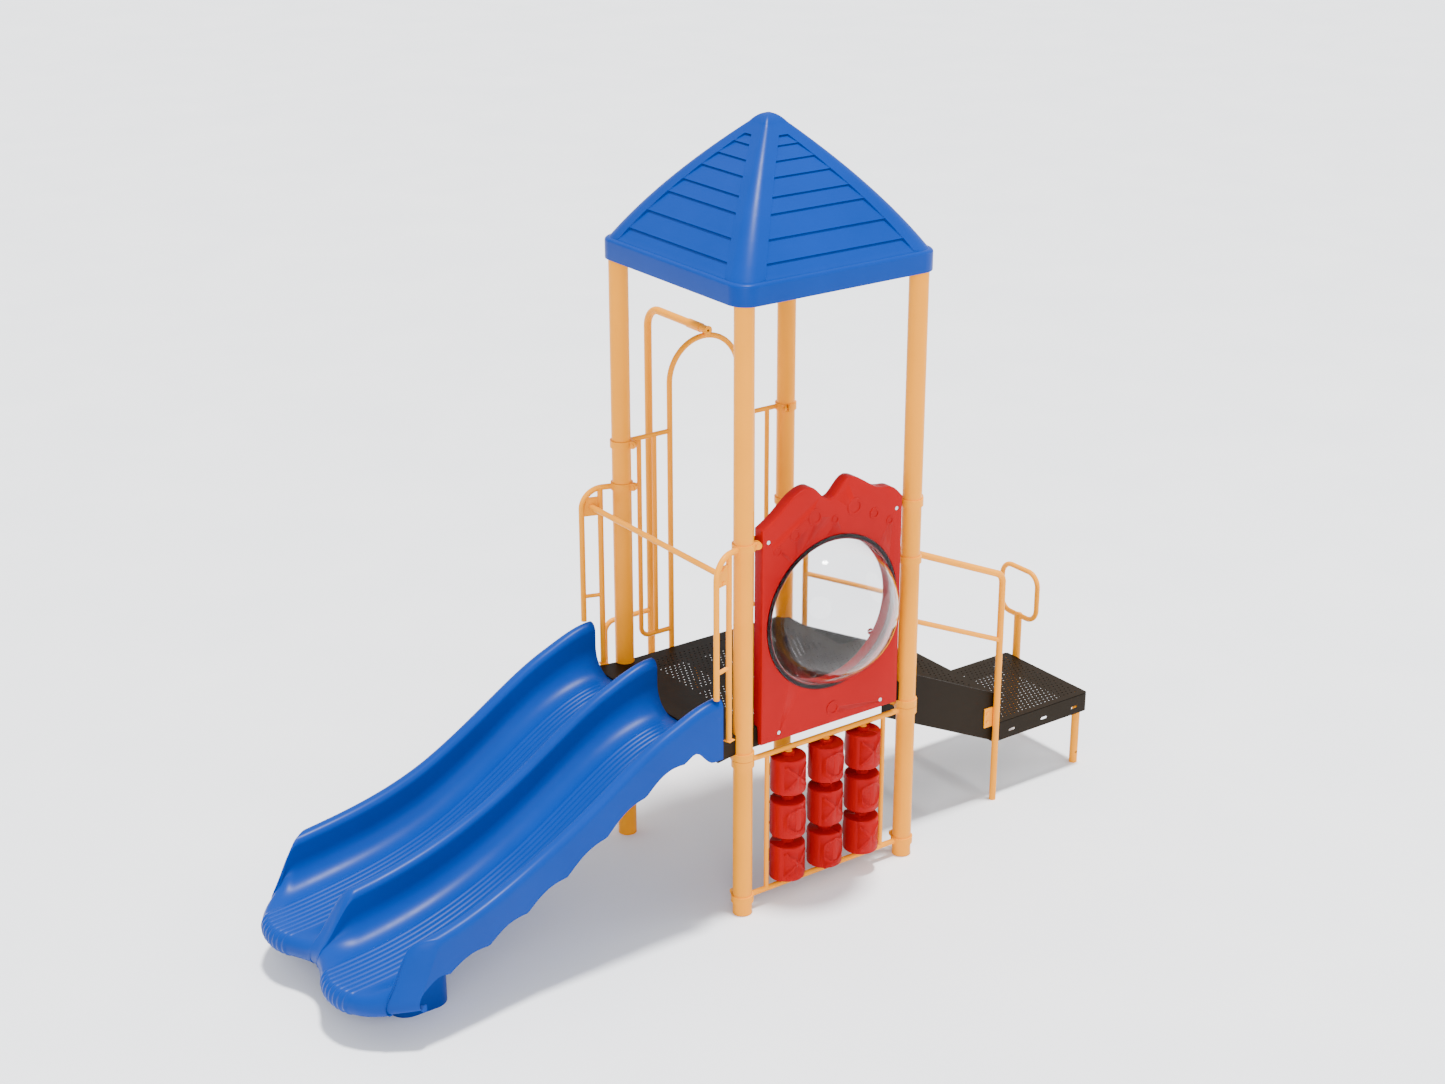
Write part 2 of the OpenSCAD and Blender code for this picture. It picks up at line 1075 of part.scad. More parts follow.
// Height of the bed at distance d from the entry plate
function bed(d) = slide_top_z - (slide_top_z - exit_h) * bez(bed_z, bez_t(d / slide_l));

// Reach of the nose at width share v: two lobes with a dip between them
function nose(v) = slide_l * (1 - 0.042 * pow(cos(min(abs(v) / 0.45, 1) * 90), 2)
  - 0.14 * pow(max(abs(v) - 0.45, 0) / 0.55, 2.4));

// Widening of the slide towards its exit
function flare(d) = 1 + 0.105 * smooth((d / slide_l - 0.47) / 0.38);

// Height of the walls above the bed, sinking to nothing at the nose
function wall(d) = wall_h + 26 * (1 - smooth(d / 260));
function fade(d, v) = 0.03 + 0.97 * smooth((nose(v) - d) / slide_l / (0.11 - 0.045 * abs(v)));

// Lower edge of the outer skirt above the bed: a hood end, then shallow scallops
function edge(d) = mix(-48, 22 + 26 * abs(sin(d / slide_l * 1620)), smooth((d - 50) / 110));

// Half of the cross section from the outer skirt to the middle ridge. Each point is its
// distance from the middle, its share of the wall height and its share of the skirt edge
ridge_c = slide_half - ridge_r;
bed_c = ridge_c / 2;
function over(a) = 1 - ridge_r * (1 - cos(a)) / wall_h;
function fill(a) = fillet_r * (1 - sin(a)) / wall_h;
half_section = concat(
  [[slide_half, 0, 1], [slide_half, 0.4, 0.5], [slide_half, over(90), 0]],
  [for (a = [60, 30, 0]) [ridge_c + ridge_r * sin(a), over(a), 0]],
  [for (a = [30, 60, 90]) [ridge_c - ridge_r * sin(a), over(a), 0]],
  [for (a = [0:22.5:90]) [ridge_c - ridge_r - fillet_r * (1 - cos(a)), fill(a), 0]],
  [[bed_c + 50, 0, 0], [bed_c, 0, 0], [bed_c - 50, 0, 0]],
  [for (a = [90:-22.5:0]) [ridge_r + fillet_r * (1 - cos(a)), fill(a), 0]],
  [for (a = [90:-30:0]) [ridge_r * sin(a), over(a), 0]]
);
side_n = len(half_section);
section = concat(
  half_section,
  [for (i = [side_n - 2:-1:0]) let (p = half_section[i]) [-p[0], p[1], p[2]]]
);

// Stations from the entry to the nose, each with its turn round the nose
straight_n = 26;
stations = concat(
  [for (k = [0:straight_n - 1]) [k / straight_n, 0]],
  [for (a = [0:15:165]) [1, a]]
);
rows = len(stations);
cols = len(section);

function skin(k, i) = let (
  p = section[i],
  v = p[0] / slide_half,
  reach = nose(v) - nose_r,
  d = reach * stations[k][0] + nose_r * sin(stations[k][1]),
  h = (p[1] * wall(d) + p[2] * edge(d)) * fade(d, v)
) [entry_x - d, -p[0] * flare(d), bed(d) + h - nose_h / 2 * (1 - cos(stations[k][1]))];

outer_skin = [for (k = [0:rows - 1]) [for (i = [0:cols - 1]) skin(k, i)]];

// Outward direction turned by angle a round the nose
function turned(n, a) = [n[0] * cos(a) - n[2] * sin(a), n[1], n[0] * sin(a) + n[2] * cos(a)];

function normal_at(k, i) = k > straight_n
  ? turned(normal_at(straight_n, i), stations[k][1])
  : let (
      a = outer_skin[max(k - 1, 0)][i],
      b = outer_skin[k + 1][i],
      c = outer_skin[k][max(i - 1, 0)],
      d = outer_skin[k][min(i + 1, cols - 1)]
    ) unit(cross(d - c, b - a));

// Inner skin, kept in the end plane at the entry
function inner(k, i) = let (n = normal_at(k, i), m = k == 0 ? [0, n[1], n[2]] : n)
  outer_skin[k][i] - slide_t * unit(m);

module slide_shell() {
  pts = concat(
    [for (k = [0:rows - 1]) for (i = [0:cols - 1]) outer_skin[k][i]],
    [for (k = [0:rows - 1]) for (i = [0:cols - 1]) inner(k, i)]
  );
  m = rows * cols;
  last = m - cols;
  quads = concat(
    [for (k = [0:rows - 2]) for (i = [0:cols - 2]) let (q = k * cols + i)
      [q, q + cols, q + cols + 1, q + 1]],
    [for (k = [0:rows - 2]) for (i = [0:cols - 2]) let (q = m + k * cols + i)
      [q, q + 1, q + cols + 1, q + cols]],
    [for (i = [0:cols - 2]) [i, i + 1, m + i + 1, m + i]],
    [for (i = [0:cols - 2]) let (q = last + i) [q, m + q, m + q + 1, q + 1]],
    [for (k = [0:rows - 2]) let (q = k * cols) [q, m + q, m + q + cols, q + cols]],
    [for (k = [0:rows - 2]) let (q = k * cols + cols - 1) [q, q + cols, m + q + cols, m + q]]
  );
  color("royalblue")
    at_tower()
      polyhedron(
        points = pts,
        faces = [for (q = quads) for (t = [[q[0], q[2], q[1]], [q[0], q[3], q[2]]]) t],
        convexity = 8
      );
}

// Moulded feet under the run-out, shaped to the underside of the bed
foot_from = 0.70 * slide_l;
foot_to = 0.845 * slide_l;

module foot_shape(s, inset) {
  l = foot_to - foot_from;
  w = 0.36 * slide_half;
  intersection() {
    translate([0, s * bed_c + w, 0])
      rotate([90, 0, 0])
        linear_extrude(2 * w)
          polygon(concat(
            [for (t = [0:0.125:1]) let (d = mix(foot_from, foot_to, t))
              [entry_x - d, bed(d) - slide_t - 0.5 - inset]],
            [[entry_x - foot_to, -inset], [entry_x - foot_from, -inset]]
          ));
    translate([entry_x - foot_to + inset, s * bed_c - w / 2 + inset, -inset - 1])
      rounded_box(l - 2 * inset, w - 2 * inset, deck_h, 80 - inset);
  }
}

module slide_feet() {
  color("royalblue")
    at_tower()
      for (s = [-1, 1])
        difference() {
          foot_shape(s, 0);
          foot_shape(s, slide_t);
        }
}

// Guards at the head of the slide

// Height of the bar between the guards, and the plates that carry it
bar_height = guard_top_z - 89;
plate_h = 90;
plate_bolts = [13, 77];

// Side guard: a hoop from the post's clamp, in an upright plane splayed outwards
module slide_guard(s) {
  r = tube_r;
  foot_z = slide_top_z + wall_h + 28;
  plate_z = bar_height - plate_h / 2;
  rung_z = deck_h + 354;
  color("gold")
    at_tower()
      at_post([-1, s])
        rotate([0, 0, s > 0 ? 180 - guard_a : 180 + guard_a])
          union() {
            difference() {
              bent_tube([[0, 0, guard_top_z], [guard_out, 0, guard_top_z],
                [guard_out, 0, foot_z]], r, 100);
              cylinder(r = ring_r, h = 2 * guard_top_z);
            }
            joined([guard_in, 0, deck_h + 3], [guard_in, 0, guard_top_z], r,
              [0, 0, guard_top_z], [guard_out, 0, guard_top_z], r - 1);
            difference() {
              pipe([guard_in, 0, rung_z], [guard_out, 0, rung_z], 0.7 * r);
              for (x = [guard_in, guard_out])
                rod([x, 0, deck_h], [x, 0, guard_top_z], r - 1);
            }
            translate([guard_in, -4, plate_z])
              difference() {
                cube([guard_out - guard_in, 8, plate_h]);
                for (x = [0, guard_out - guard_in])
                  translate([x, 4, -1])
                    cylinder(r = r - 1, h = plate_h + 2);
                for (z = plate_bolts)
                  translate([(guard_out - guard_in) / 2, 4, z])
                    rotate([90, 0, 0])
                      cylinder(r = bolt_r, h = 20, center = true);
              }
            translate([guard_in - 22, -18, deck_h])
              cube([40, 36, 3]);
          }
}

module slide_guard_near() {
  slide_guard(-1);
}

module slide_guard_far() {
  slide_guard(1);
}

// Bar across the head of the slide, between the guards' plates
bar_d = (guard_in + guard_out) / 2;
bar_x = -half - bar_d * cos(guard_a);
bar_y = half + bar_d * sin(guard_a);

module sit_bar() {
  z = bar_height;
  color("gold")
    at_tower()
      difference() {
        pipe([bar_x, -bar_y, z], [bar_x, bar_y, z], tube_r);
        for (s = [-1, 1])
          at_post([-1, s])
            rotate([0, 0, s > 0 ? 180 - guard_a : 180 + guard_a])
              translate([0, s > 0 ? -104 : -4, 0])
                cube([2 * guard_out, 108, 2 * guard_top_z]);
      }
}

module guard_bolts() {
  color("silver")
    at_tower()
      for (s = [-1, 1])
        at_post([-1, s])
          rotate([0, 0, s > 0 ? 180 - guard_a : 180 + guard_a])
            for (z = plate_bolts)
              translate([bar_d, s > 0 ? -4 : 4, bar_height - plate_h / 2 + z])
                rotate([s > 0 ? 90 : -90, 0, 0])
                  bolt(8);
}

// Climber side

// Foot of an arch leg, flattened for its two bolts
module arch_foot(x) {
  translate([x - 24, deck_half, deck_h - 78])
    difference() {
      cube([48, 6, 60]);
      for (z = [14, 46])
        translate([24, 0, z])
          rotate([-90, 0, 0])
            cylinder(r = bolt_r, h = 20, center = true);
    }
}

module climber_arch() {
  r = tube_r;
  leg_z = deck_h - 20;
  spring = deck_h + arch_rise;
  color("gold")
    at_tower()
      union() {
        for (s = [-1, 1]) {
          pipe([s * arch_r, arch_y, leg_z], [s * arch_r, arch_y, spring], r);
          arch_foot(s * arch_r);
        }
        translate([0, arch_y, spring])
          rotate([90, 0, 0])
            rotate_extrude(angle = 180)
              translate([arch_r, 0])
                difference() {
                  circle(r);
                  circle(r - tube_wall);
                }
      }
}

// Barrier of two upright bars beside the arch
module climber_guard(s) {
  r = 0.85 * tube_r;
  x_in = 0.6 * half;
  x_out = 0.78 * half;
  low = deck_h + 94;
  leg = [s * arch_r, arch_y, deck_h];
  leg_top = [s * arch_r, arch_y, deck_h + arch_rise];
  color("gold")
    at_tower()
      union() {
        difference() {
          pipe([s * arch_r, arch_y, bar_z], [s * half, arch_y, bar_z], r);
          rod(leg, leg_top, tube_r);
          at_post([s, 1])
            cylinder(r = ring_r, h = 2 * bar_z);
        }
        difference() {
          bent_tube([[s * x_out, arch_y, bar_z], [s * x_out, arch_y, low],
            [s * arch_r, arch_y, low]], r, 45);
          rod(leg, leg_top, tube_r);
          rod([0, arch_y, bar_z], [s * half, arch_y, bar_z], r - 1);
        }
        difference() {
          pipe([s * x_in, arch_y, low], [s * x_in, arch_y, bar_z], r);
          rod([0, arch_y, low], [s * half, arch_y, low], r - 1);
          rod([0, arch_y, bar_z], [s * half, arch_y, bar_z], r - 1);
        }
      }
}

module climber_guard_left() {
  climber_guard(-1);
}

module climber_guard_right() {
  climber_guard(1);
}

// Pole with an arm over the arch, closed by a round end plate
module climber_pole() {
  r = pole_r;
  arm_end = half - 20;
  color("gold")
    at_tower()
      union() {
        bent_tube([[0, pole_y, 0], [0, pole_y, arm_z], [0, arm_end, arm_z]], r, 95);
        difference() {
          translate([0, arm_end + 150, arm_z])
            rotate([90, 0, 0])
              cylinder(r = r + 3, h = 100);
          rod([0, pole_y, arm_z], [0, arm_end - 1, arm_z], r - 1);
          rod([-arch_r, arch_y, arch_top], [arch_r, arch_y, arch_top], tube_r);
        }
        difference() {
          translate([0, arm_end, arm_z])
            rotate([90, 0, 0])
              cylinder(r = r + 3, h = 5);
          translate([0, arm_end, arm_z])
            rotate([90, 0, 0])
              cylinder(r = 6, h = 20, center = true);
        }
      }
}

// Snaking rung tube on both sides of the pole
module climber_snake() {
  z0 = snake_top;
  z1 = z0 - rung_gap;
  z2 = z1 - rung_gap;
  color("gold")
    at_tower()
      difference() {
        bent_tube([
          [0, pole_y, z0], [-rung_y, pole_y, z0], [-rung_y, pole_y, z1],
          [rung_y, pole_y, z1], [rung_y, pole_y, z2], [0, pole_y, z2]
        ], tube_r, 55);
        rod([0, pole_y, 0], [0, pole_y, 2 * deck_h], pole_r);
      }
}

module climber_bolts() {
  color("silver")
    at_tower()
      for (s = [-1, 1])
        for (z = [14, 46])
          translate([s * arch_r, deck_half + 6, deck_h - 78 + z])
            rotate([-90, 0, 0])
              bolt(6);
}

post_front_left();
post_front_right();
post_back_left();
post_back_right();
post_caps();
deck_collars();
guard_clamps();
panel_clamp();
handrail_clamps();
climber_clamps();
tictactoe_clamps();
clamp_bolts();
deck();
deck_stiffeners();
slide_entry_plate();
deck_bolts();
stair_side_near();
stair_side_far();
tread_upper();
tread_lower();
low_platform();
platform_leg_near();
platform_leg_far();
handhold();
handrail_near();
handrail_far();
handrail_uprights();
handrail_plates();
stair_bolts();
roof();
roof_brackets();
bubble_panel();
panel_bolts();
panel_arms();
bubble_dome();
tictactoe_frame();
tictactoe_rods();
cylinder_a1();
cylinder_a2();
cylinder_a3();
cylinder_b1();
cylinder_b2();
cylinder_b3();
cylinder_c1();
cylinder_c2();
cylinder_c3();
slide_shell();
slide_feet();
slide_guard_near();
slide_guard_far();
sit_bar();
guard_bolts();
climber_arch();
climber_guard_left();
climber_guard_right();
climber_pole();
climber_snake();
climber_bolts();
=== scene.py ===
import json
import math

import bmesh
import bpy
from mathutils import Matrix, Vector


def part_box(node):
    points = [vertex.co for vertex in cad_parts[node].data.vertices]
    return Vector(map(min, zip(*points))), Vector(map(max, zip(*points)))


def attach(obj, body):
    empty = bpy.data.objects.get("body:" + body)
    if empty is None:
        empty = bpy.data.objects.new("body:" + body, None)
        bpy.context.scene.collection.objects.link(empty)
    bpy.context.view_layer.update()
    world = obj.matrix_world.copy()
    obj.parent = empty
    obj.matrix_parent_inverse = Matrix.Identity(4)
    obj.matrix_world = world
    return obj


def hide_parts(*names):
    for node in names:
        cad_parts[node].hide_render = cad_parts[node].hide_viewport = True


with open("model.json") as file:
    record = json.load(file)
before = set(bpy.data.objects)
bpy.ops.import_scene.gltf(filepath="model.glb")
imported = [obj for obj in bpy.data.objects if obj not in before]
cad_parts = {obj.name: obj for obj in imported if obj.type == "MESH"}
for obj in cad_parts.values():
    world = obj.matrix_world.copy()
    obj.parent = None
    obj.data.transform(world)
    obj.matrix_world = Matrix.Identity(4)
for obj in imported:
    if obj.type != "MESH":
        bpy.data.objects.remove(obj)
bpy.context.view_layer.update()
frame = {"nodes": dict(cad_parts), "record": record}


# ---------------------------------------------------------------- measures from the frame

def span(node):
    lo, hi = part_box(node)
    return Vector(lo), Vector(hi)


def mid(node):
    lo, hi = span(node)
    return (lo + hi) / 2


POSTS = {n: mid(n) for n in
         ("post_front_left", "post_front_right", "post_back_left", "post_back_right")}
CX = sum(p.x for p in POSTS.values()) / 4
CY = sum(p.y for p in POSTS.values()) / 4
HALF = (POSTS["post_front_right"].x - POSTS["post_front_left"].x) / 2
POST_R = (span("post_front_left")[1].x - span("post_front_left")[0].x) / 2
DECK_LO, DECK_HI = span("deck")
CORNERS = ((-1, -1), (1, -1), (1, 1), (-1, 1))


# ---------------------------------------------------------------- materials

def links(mat):
    """An empty node tree with one principled shader wired to the output."""
    mat.use_nodes = True
    nt = mat.node_tree
    nt.nodes.clear()
    out = nt.nodes.new("ShaderNodeOutputMaterial")
    bsdf = nt.nodes.new("ShaderNodeBsdfPrincipled")
    nt.links.new(bsdf.outputs["BSDF"], out.inputs["Surface"])
    return nt, bsdf


def coords(nt):
    return nt.nodes.new("ShaderNodeTexCoord").outputs["Object"]


def noise(nt, vec, scale, detail=4.0, rough=0.55):
    n = nt.nodes.new("ShaderNodeTexNoise")
    n.inputs["Scale"].default_value = scale
    n.inputs["Detail"].default_value = detail
    n.inputs["Roughness"].default_value = rough
    nt.links.new(vec, n.inputs["Vector"])
    return n.outputs["Fac"]


def ramp(nt, fac, stops):
    r = nt.nodes.new("ShaderNodeValToRGB")
    r.color_ramp.elements[0].position = stops[0][0]
    r.color_ramp.elements[0].color = (*stops[0][1], 1)
    r.color_ramp.elements[1].position = stops[-1][0]
    r.color_ramp.elements[1].color = (*stops[-1][1], 1)
    for pos, col in stops[1:-1]:
        e = r.color_ramp.elements.new(pos)
        e.color = (*col, 1)
    nt.links.new(fac, r.inputs["Fac"])
    return r.outputs["Color"]


def spread(nt, fac, lo, hi):
    m = nt.nodes.new("ShaderNodeMapRange")
    m.inputs["To Min"].default_value = lo
    m.inputs["To Max"].default_value = hi
    nt.links.new(fac, m.inputs["Value"])
    return m.outputs["Result"]


def bump(nt, height, strength, distance):
    b = nt.nodes.new("ShaderNodeBump")
    b.inputs["Strength"].default_value = strength
    b.inputs["Distance"].default_value = distance
    nt.links.new(height, b.inputs["Height"])
    return b.outputs["Normal"]


def shade(c, k):
    return tuple(min(1.0, v * k) for v in c)


def coated(name, base, rough, grain, peel, spec):
    """A coated or moulded surface: slight tone drift, fine grain and uneven gloss."""
    mat = bpy.data.materials.new(name)
    nt, bsdf = links(mat)
    vec = coords(nt)
    tone = noise(nt, vec, 2.3, 3.0)
    nt.links.new(ramp(nt, tone, [(0.3, shade(base, 0.94)), (0.7, shade(base, 1.05))]),
                 bsdf.inputs["Base Color"])
    gloss = noise(nt, vec, 17.0, 5.0)
    nt.links.new(spread(nt, gloss, rough - 0.05, rough + 0.07), bsdf.inputs["Roughness"])
    fine = noise(nt, vec, grain, 3.0, 0.6)
    nt.links.new(bump(nt, fine, peel, 0.0006), bsdf.inputs["Normal"])
    bsdf.inputs["Specular IOR Level"].default_value = spec
    return mat


YELLOW = (0.88, 0.31, 0.0006)
BROWN = (0.012, 0.007, 0.0025)
BLUE = (0.0006, 0.034, 0.24)
RED = (0.34, 0.0015, 0.003)

mats = {
    "yellow_steel": coated("yellow_coat", YELLOW, 0.30, 420, 0.12, 0.12),
    "brown_steel": coated("brown_coat", BROWN, 0.46, 260, 0.30, 0.08),
    "blue_plastic": coated("blue_moulding", BLUE, 0.34, 180, 0.16, 0.10),
    "red_plastic": coated("red_moulding", RED, 0.40, 180, 0.16, 0.07),
}


def zinc():
    mat = bpy.data.materials.new("plated_fastener")
    nt, bsdf = links(mat)
    vec = coords(nt)
    spots = noise(nt, vec, 160, 4.0)
    nt.links.new(ramp(nt, spots, [(0.35, (0.42, 0.42, 0.43)), (0.65, (0.62, 0.62, 0.63))]),
                 bsdf.inputs["Base Color"])
    nt.links.new(spread(nt, noise(nt, vec, 60), 0.22, 0.42), bsdf.inputs["Roughness"])
    bsdf.inputs["Metallic"].default_value = 1.0
    return mat


def clear():
    mat = bpy.data.materials.new("clear_sheet")
    nt, bsdf = links(mat)
    vec = coords(nt)
    tint = [(0.3, (0.84, 0.84, 0.86)), (0.7, (0.9, 0.9, 0.9))]
    nt.links.new(ramp(nt, noise(nt, vec, 3.0), tint), bsdf.inputs["Base Color"])
    nt.links.new(spread(nt, noise(nt, vec, 40), 0.02, 0.07), bsdf.inputs["Roughness"])
    bsdf.inputs["IOR"].default_value = 1.28
    bsdf.inputs["Transmission Weight"].default_value = 1.0
    return mat


mats["zinc"] = zinc()
mats["clear_plastic"] = clear()

SLOT = {s["node"]: s["material_slot"] for s in frame["record"]["subparts"]}
BODY = {n: b for b, ns in frame["record"]["behaviour"]["bodies"].items() for n in ns}


def paint(obj, mat):
    obj.data.materials.clear()
    obj.data.materials.append(mat)


for node, obj in frame["nodes"].items():
    paint(obj, mats[SLOT[node]])
for node in ("clamp_bolts", "guard_bolts", "stair_bolts", "climber_bolts"):
    paint(frame["nodes"][node], mats["yellow_steel"])


# ---------------------------------------------------------------- shaped pieces

def add(name, verts, faces, node, slot, smooth=True, sharp=None, replaces=True):
    """A mesh in the frame that rides with the CAD node it stands for."""
    me = bpy.data.meshes.new(name)
    me.from_pydata([tuple(v) for v in verts], [], faces)
    me.validate()
    me.update()
    obj = bpy.data.objects.new(name, me)
    bpy.context.collection.objects.link(obj)
    if smooth:
        me.shade_smooth()
        if sharp:
            me.set_sharp_from_angle(angle=math.radians(sharp))
    paint(obj, mats[slot])
    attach(obj, BODY[node])
    if replaces:
        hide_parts(node)
    return obj


def smoothstep(t):
    t = min(max(t, 0.0), 1.0)
    return t * t * (3 - 2 * t)


def mix(a, b, t):
    return a + (b - a) * t


def sin_d(a):
    return math.sin(math.radians(a))


def cos_d(a):
    return math.cos(math.radians(a))


# Double slide: one moulded skin swept from the entry plate to the two-lobed nose

EXIT_H = 0.245
WALL_H = 0.212
RIDGE_R = 0.035
FILLET_R = 0.110
NOSE_R = 0.040
NOSE_H = 0.100
SKIN_T = 0.010
FLARE = 0.105
ROWS = 96
RIB_PROUD = 0.0045
RIB_STEPS = 10
RIBS_PER_LANE = 8
BED_X = (0, 0.282, 0.395, 1)
BED_Z = (0, 0.008, 0.932, 1)


def bez(p, t):
    u = 1 - t
    return p[0] * u ** 3 + 3 * p[1] * t * u * u + 3 * p[2] * t * t * u + p[3] * t ** 3


def bez_t(x):
    lo, hi = 0.0, 1.0
    for _ in range(22):
        m = (lo + hi) / 2
        if bez(BED_X, m) < x:
            lo = m
        else:
            hi = m
    return (lo + hi) / 2


def slide():
    """A skin of even thickness over a grid of stations down the slide by points across it."""
    lo, hi = span("slide_shell")
    entry, length = hi.x, hi.x - lo.x
    half = (hi.y - lo.y) / 2 / (1 + FLARE)
    cy = (hi.y + lo.y) / 2
    top = DECK_HI.z - 0.009

    def bed(d):
        """Height of the sliding surface, d metres out from the entry."""
        return top - (top - EXIT_H) * bez(BED_Z, bez_t(d / length))

    def nose(v):
        """How far out the end reaches, v half-widths from the centre line."""
        v = abs(v)
        return length * (1 - 0.042 * cos_d(min(v / 0.45, 1) * 90) ** 2
                         - 0.14 * (max(v - 0.45, 0) / 0.55) ** 2.4)

    def flare(d):
        return 1 + FLARE * smoothstep((d / length - 0.47) / 0.38)

    def wall(d):
        return WALL_H + 0.026 * (1 - smoothstep(d / 0.26))

    def fade(d, v):
        return 0.03 + 0.97 * smoothstep((nose(v) - d) / length / (0.11 - 0.045 * abs(v)))

    def edge(d):
        """Height of the scalloped outer hem over the bed."""
        low = 0.022 + 0.026 * abs(sin_d(d / length * 1620))
        return mix(-0.048, low, smoothstep((d - 0.05) / 0.11))

    def over(a):
        return 1 - RIDGE_R * (1 - cos_d(a)) / WALL_H

    def fill(a):
        return FILLET_R * (1 - sin_d(a)) / WALL_H

    ridge_c = half - RIDGE_R
    bed_c = ridge_c / 2
    flat = bed_c - RIDGE_R - FILLET_R
    part = [(half, 0, 1, 0), (half, 0.04, 0.9, 0), (half, 0.4, 0.5, 0), (half, 0.7, 0.2, 0),
            (half, over(90), 0, 0)]
    part += [(ridge_c + RIDGE_R * sin_d(a), over(a), 0, 0) for a in range(80, -1, -10)]
    part += [(ridge_c - RIDGE_R * sin_d(a), over(a), 0, 0) for a in range(10, 91, 10)]
    part += [(ridge_c - RIDGE_R - FILLET_R * (1 - cos_d(a)), fill(a), 0, 0)
             for a in range(0, 90, 6)]
    ribs = RIB_STEPS * RIBS_PER_LANE
    for k in range(ribs + 1):
        y = bed_c + flat * (1 - 2 * k / ribs)
        part.append((y, 0, 0, 0.5 - 0.5 * math.cos(2 * math.pi * k / RIB_STEPS)))
    part += [(RIDGE_R + FILLET_R * (1 - cos_d(a)), fill(a), 0, 0) for a in range(84, -1, -6)]
    part += [(RIDGE_R * sin_d(a), over(a), 0, 0) for a in range(90, -1, -10)]
    section = part + [(-p[0], p[1], p[2], p[3]) for p in reversed(part[:-1])]
    stations = [(k / ROWS, 0) for k in range(ROWS)] + [(1, a) for a in range(0, 171, 10)]
    grid = []
    for u, a in stations:
        row = []
        for y, h, e, _ in section:
            v = y / half
            reach = nose(v) - NOSE_R
            d = reach * u + NOSE_R * sin_d(a)
            z = bed(d) + (h * wall(d) + e * edge(d)) * fade(d, v) - NOSE_H / 2 * (1 - cos_d(a))
            row.append(Vector((entry - d, cy - y * flare(d), z)))
        grid.append(row)
    n_rows, n_cols = len(grid), len(section)

    def normal(k, i):
        """Upward direction of the skin, turned with the roll round the nose."""
        if k > ROWS:
            n, a = normal(ROWS, i), stations[k][1]
            return Vector((n.x * cos_d(a) - n.z * sin_d(a), n.y, n.x * sin_d(a) + n.z * cos_d(a)))
        a, b = grid[max(k - 1, 0)][i], grid[k + 1][i]
        p, q = grid[k][max(i - 1, 0)], grid[k][min(i + 1, n_cols - 1)]
        n = (q - p).cross(b - a)
        if k == 0:
            n.x = 0
        return n.normalized()

    skin, under = [], []
    for k in range(n_rows):
        start = smoothstep((stations[k][0] - 0.03) / 0.05)
        for i in range(n_cols):
            n = normal(k, i)
            skin.append(grid[k][i] + n * RIB_PROUD * section[i][3] * start)
            under.append(grid[k][i] - n * SKIN_T)
    m = n_rows * n_cols
    faces = []
    for k in range(n_rows - 1):
        for i in range(n_cols - 1):
            q = k * n_cols + i
            faces.append((q, q + n_cols, q + n_cols + 1, q + 1))
            faces.append((m + q, m + q + 1, m + q + n_cols + 1, m + q + n_cols))
        q = k * n_cols
        faces.append((q, m + q, m + q + n_cols, q + n_cols))
        q += n_cols - 1
        faces.append((q, q + n_cols, m + q + n_cols, m + q))
    last = m - n_cols
    for i in range(n_cols - 1):
        faces.append((i, i + 1, m + i + 1, m + i))
        q = last + i
        faces.append((q, m + q, m + q + 1, q + 1))
    add("slide_skin", skin + under, faces, "slide_shell", "blue_plastic", sharp=50)


# Punched sheets, with a plain border round the field of holes

SHEET_T = 0.003
PITCH = 0.0254
HOLE_R = 0.0048
EDGE_EASE = 0.0012
NOTCH_GAP = 0.0015
DECK_BORDER = 0.018
TREAD_BORDER = 0.030
PLATFORM_BORDER = 0.014
PLATFORM_CORNER = 0.018
ARC_STEPS = 14


def punched(x0, x1, y0, y1, pitch, hole, border):
    """Quads of a flat sheet from x0, y0 to x1, y1 with staggered round holes inside its border."""
    verts, faces = [], []

    def quad(a, b, c, d):
        n = len(verts)
        verts.extend(((a, b), (c, b), (c, d), (a, d)))
        faces.append((n, n + 1, n + 2, n + 3))

    ax, bx, ay, by = x0 + border, x1 - border, y0 + border, y1 - border
    nx, ny = max(1, int((bx - ax) / pitch)), max(1, int((by - ay) / pitch))
    px, py = (bx - ax) / nx, (by - ay) / ny
    quad(x0, y0, x1, ay)
    quad(x0, by, x1, y1)
    quad(x0, ay, ax, by)
    quad(bx, ay, x1, by)
    for j in range(ny):
        shift = px / 2 if j % 2 else 0
        ya, yb = ay + j * py, ay + (j + 1) * py
        if shift:
            quad(ax, ya, ax + shift, yb)
            quad(bx - shift, ya, bx, yb)
        for i in range(nx - (1 if shift else 0)):
            xa = ax + i * px + shift
            xb, xm, ym = xa + px, xa + px / 2, (ya + yb) / 2
            ring = [(xb, ym), (xb, yb), (xm, yb), (xa, yb), (xa, ym), (xa, ya), (xm, ya), (xb, ya)]
            n = len(verts)
            verts.extend(ring)
            verts.extend((xm + hole * cos_d(45 * k), ym + hole * sin_d(45 * k)) for k in range(8))
            for k in range(8):
                e = (k + 1) % 8
                faces.append((n + k, n + e, n + 8 + e, n + 8 + k))
    return verts, faces


def plain(x0, x1, y0, y1):
    """One unpunched rectangle in the form that punched() gives."""
    return [(x0, y0), (x1, y0), (x1, y1), (x0, y1)], [(0, 1, 2, 3)]


